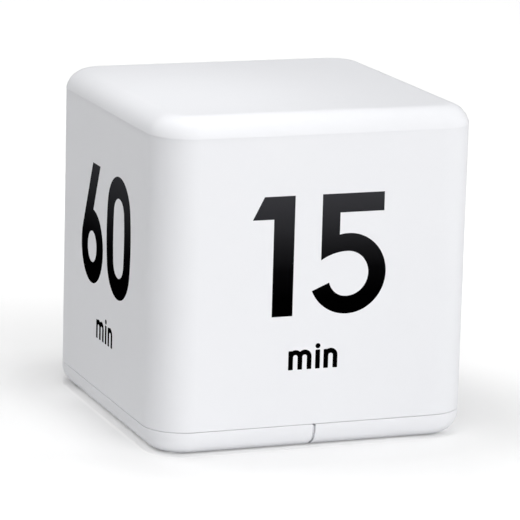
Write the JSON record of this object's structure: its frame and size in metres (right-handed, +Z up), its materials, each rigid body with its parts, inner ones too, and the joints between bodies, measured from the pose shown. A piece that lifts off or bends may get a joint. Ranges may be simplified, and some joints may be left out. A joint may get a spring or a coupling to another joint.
{
  "type": "cube timer",
  "caption": "Cube-shaped countdown timer that starts when it is turned onto a side, with a display, a slide switch and a sliding battery door in its base.",
  "frame": {"origin": "centre of the cube's footprint, on the surface that it stands on", "axes": "+Z up, -Y out of the face with the number 15, -X out of the face with 60, +X the way the battery door slides off"},
  "size_m": [0.0634, 0.0634, 0.0635],
  "materials": {
    "casing": "white ABS with a fine satin texture",
    "chassis": "natural white ABS, plain moulded",
    "ink": "gloss black screen-printed ink",
    "clear_window": "clear acrylic",
    "display_glass": "display glass",
    "display_film": "polariser and reflector film",
    "elastomer": "silicone strip",
    "circuit_board": "green solder mask",
    "resin": "black epoxy",
    "components": "chip capacitor ceramic",
    "plated_steel": "zinc-plated steel",
    "nickel": "nickel plate",
    "cell_jacket": "plain dark cell jacket with no print",
    "black_insulation": "black insulation",
    "red_insulation": "red insulation",
    "black_plastic": "black moulded plastic",
    "phenolic": "phenolic sheet",
    "knob_plastic": "grey moulded plastic",
    "ball_steel": "ground steel ball"
  },
  "bodies": {
    "casing": {"base_frame": "chassis", "bay_screws": "plated_steel", "board_screws": "plated_steel", "buzzer_case": "black_plastic", "buzzer_diaphragm": "plated_steel", "case_screws": "plated_steel", "cell_inner": "cell_jacket", "cell_outer": "cell_jacket", "chip_parts": "components", "controller_blob": "resin", "crystal": "plated_steel", "display_cover": "casing", "display_lens": "clear_window", "figures_back": "ink", "figures_front": "ink", "figures_left": "ink", "figures_right": "ink", "lcd_frame": "chassis", "lcd_front_glass": "display_glass", "lcd_polariser": "display_film", "lcd_rear_glass": "display_glass", "lcd_reflector": "display_film", "lead_black": "black_insulation", "lead_red": "red_insulation", "link_plate": "nickel", "main_board": "circuit_board", "negative_plate": "nickel", "positive_plate": "nickel", "side_shell": "casing", "spring_back": "nickel", "spring_front": "nickel", "switch_base": "phenolic", "switch_can": "plated_steel", "tilt_can_back": "nickel", "tilt_can_front": "nickel", "tilt_can_left": "nickel", "tilt_can_right": "nickel", "tilt_plug_back": "phenolic", "tilt_plug_front": "phenolic", "tilt_plug_left": "phenolic", "tilt_plug_right": "phenolic", "top_cover": "casing", "zebra_strips": "elastomer"},
    "door": {"battery_door": "casing"},
    "switch": {"switch_knob": "knob_plastic", "switch_actuator": "knob_plastic"},
    "ball_right": {"tilt_ball_right": "ball_steel"},
    "ball_back": {"tilt_ball_back": "ball_steel"},
    "ball_left": {"tilt_ball_left": "ball_steel"},
    "ball_front": {"tilt_ball_front": "ball_steel"}
  },
  "joints": [
    {"name": "door_slide", "type": "slide", "parent": "casing", "child": "door", "axis": [1, 0, 0], "range_m": [0, 0.032]},
    {"name": "switch_slide", "type": "slide", "parent": "casing", "child": "switch", "axis": [1, 0, 0], "range_m": [0, 0.004]},
    {"name": "ball_roll_right", "type": "slide", "parent": "casing", "child": "ball_right", "axis": [0.9659, 0, 0.2588], "range_m": [0, 0.0024]},
    {"name": "ball_roll_back", "type": "slide", "parent": "casing", "child": "ball_back", "axis": [0, 0.9659, 0.2588], "range_m": [0, 0.0024]},
    {"name": "ball_roll_left", "type": "slide", "parent": "casing", "child": "ball_left", "axis": [-0.9659, 0, 0.2588], "range_m": [0, 0.0024]},
    {"name": "ball_roll_front", "type": "slide", "parent": "casing", "child": "ball_front", "axis": [0, -0.9659, 0.2588], "range_m": [0, 0.0024]}
  ]
}
